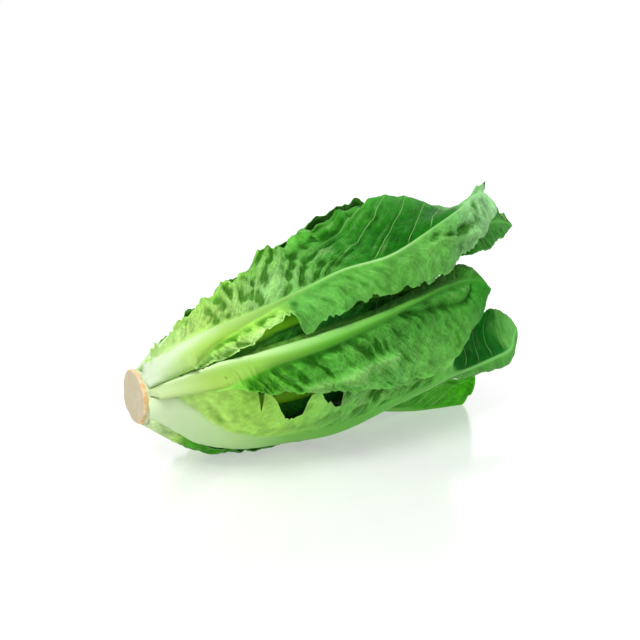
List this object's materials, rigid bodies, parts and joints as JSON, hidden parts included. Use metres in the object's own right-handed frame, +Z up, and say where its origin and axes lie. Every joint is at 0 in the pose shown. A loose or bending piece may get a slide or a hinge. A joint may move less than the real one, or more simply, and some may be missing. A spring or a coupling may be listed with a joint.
{
  "type": "romaine lettuce head",
  "caption": "Head of romaine lettuce lying on its side: long ribbed leaves with frilled, toothed edges, wrapped round a heart and cut off square at the butt.",
  "frame": {"origin": "on the surface the head lies on, under the middle of the head's bounding box", "axes": "+X along the head from the cut butt to the leaf tips, +Y from the front side to the back, +Z up"},
  "size_m": [0.31, 0.1472, 0.1568],
  "materials": {
    "stem": "moist cut stem, matt, browned at the rim",
    "heart_leaf": "young leaf, waxy, satin",
    "pale_leaf": "pale rib and lime blade, waxy, satin",
    "green_leaf": "grown leaf, waxy, satin, paler along the rib",
    "deep_leaf": "darker leaf, waxy, satin"
  },
  "bodies": {
    "root": {"stem": "stem", "heart_leaf_1": "heart_leaf", "heart_leaf_2": "heart_leaf", "heart_leaf_3": "heart_leaf", "heart_leaf_4": "heart_leaf", "inner_lower_leaf": "green_leaf", "inner_back_leaf": "green_leaf", "inner_upper_front_leaf": "green_leaf", "inner_front_leaf": "green_leaf", "inner_top_leaf": "deep_leaf", "lower_front_leaf": "pale_leaf", "front_leaf": "green_leaf", "top_back_leaf": "green_leaf", "lower_back_leaf": "green_leaf", "back_leaf": "green_leaf", "top_front_leaf": "green_leaf", "under_leaf": "deep_leaf"}
  },
  "joints": []
}
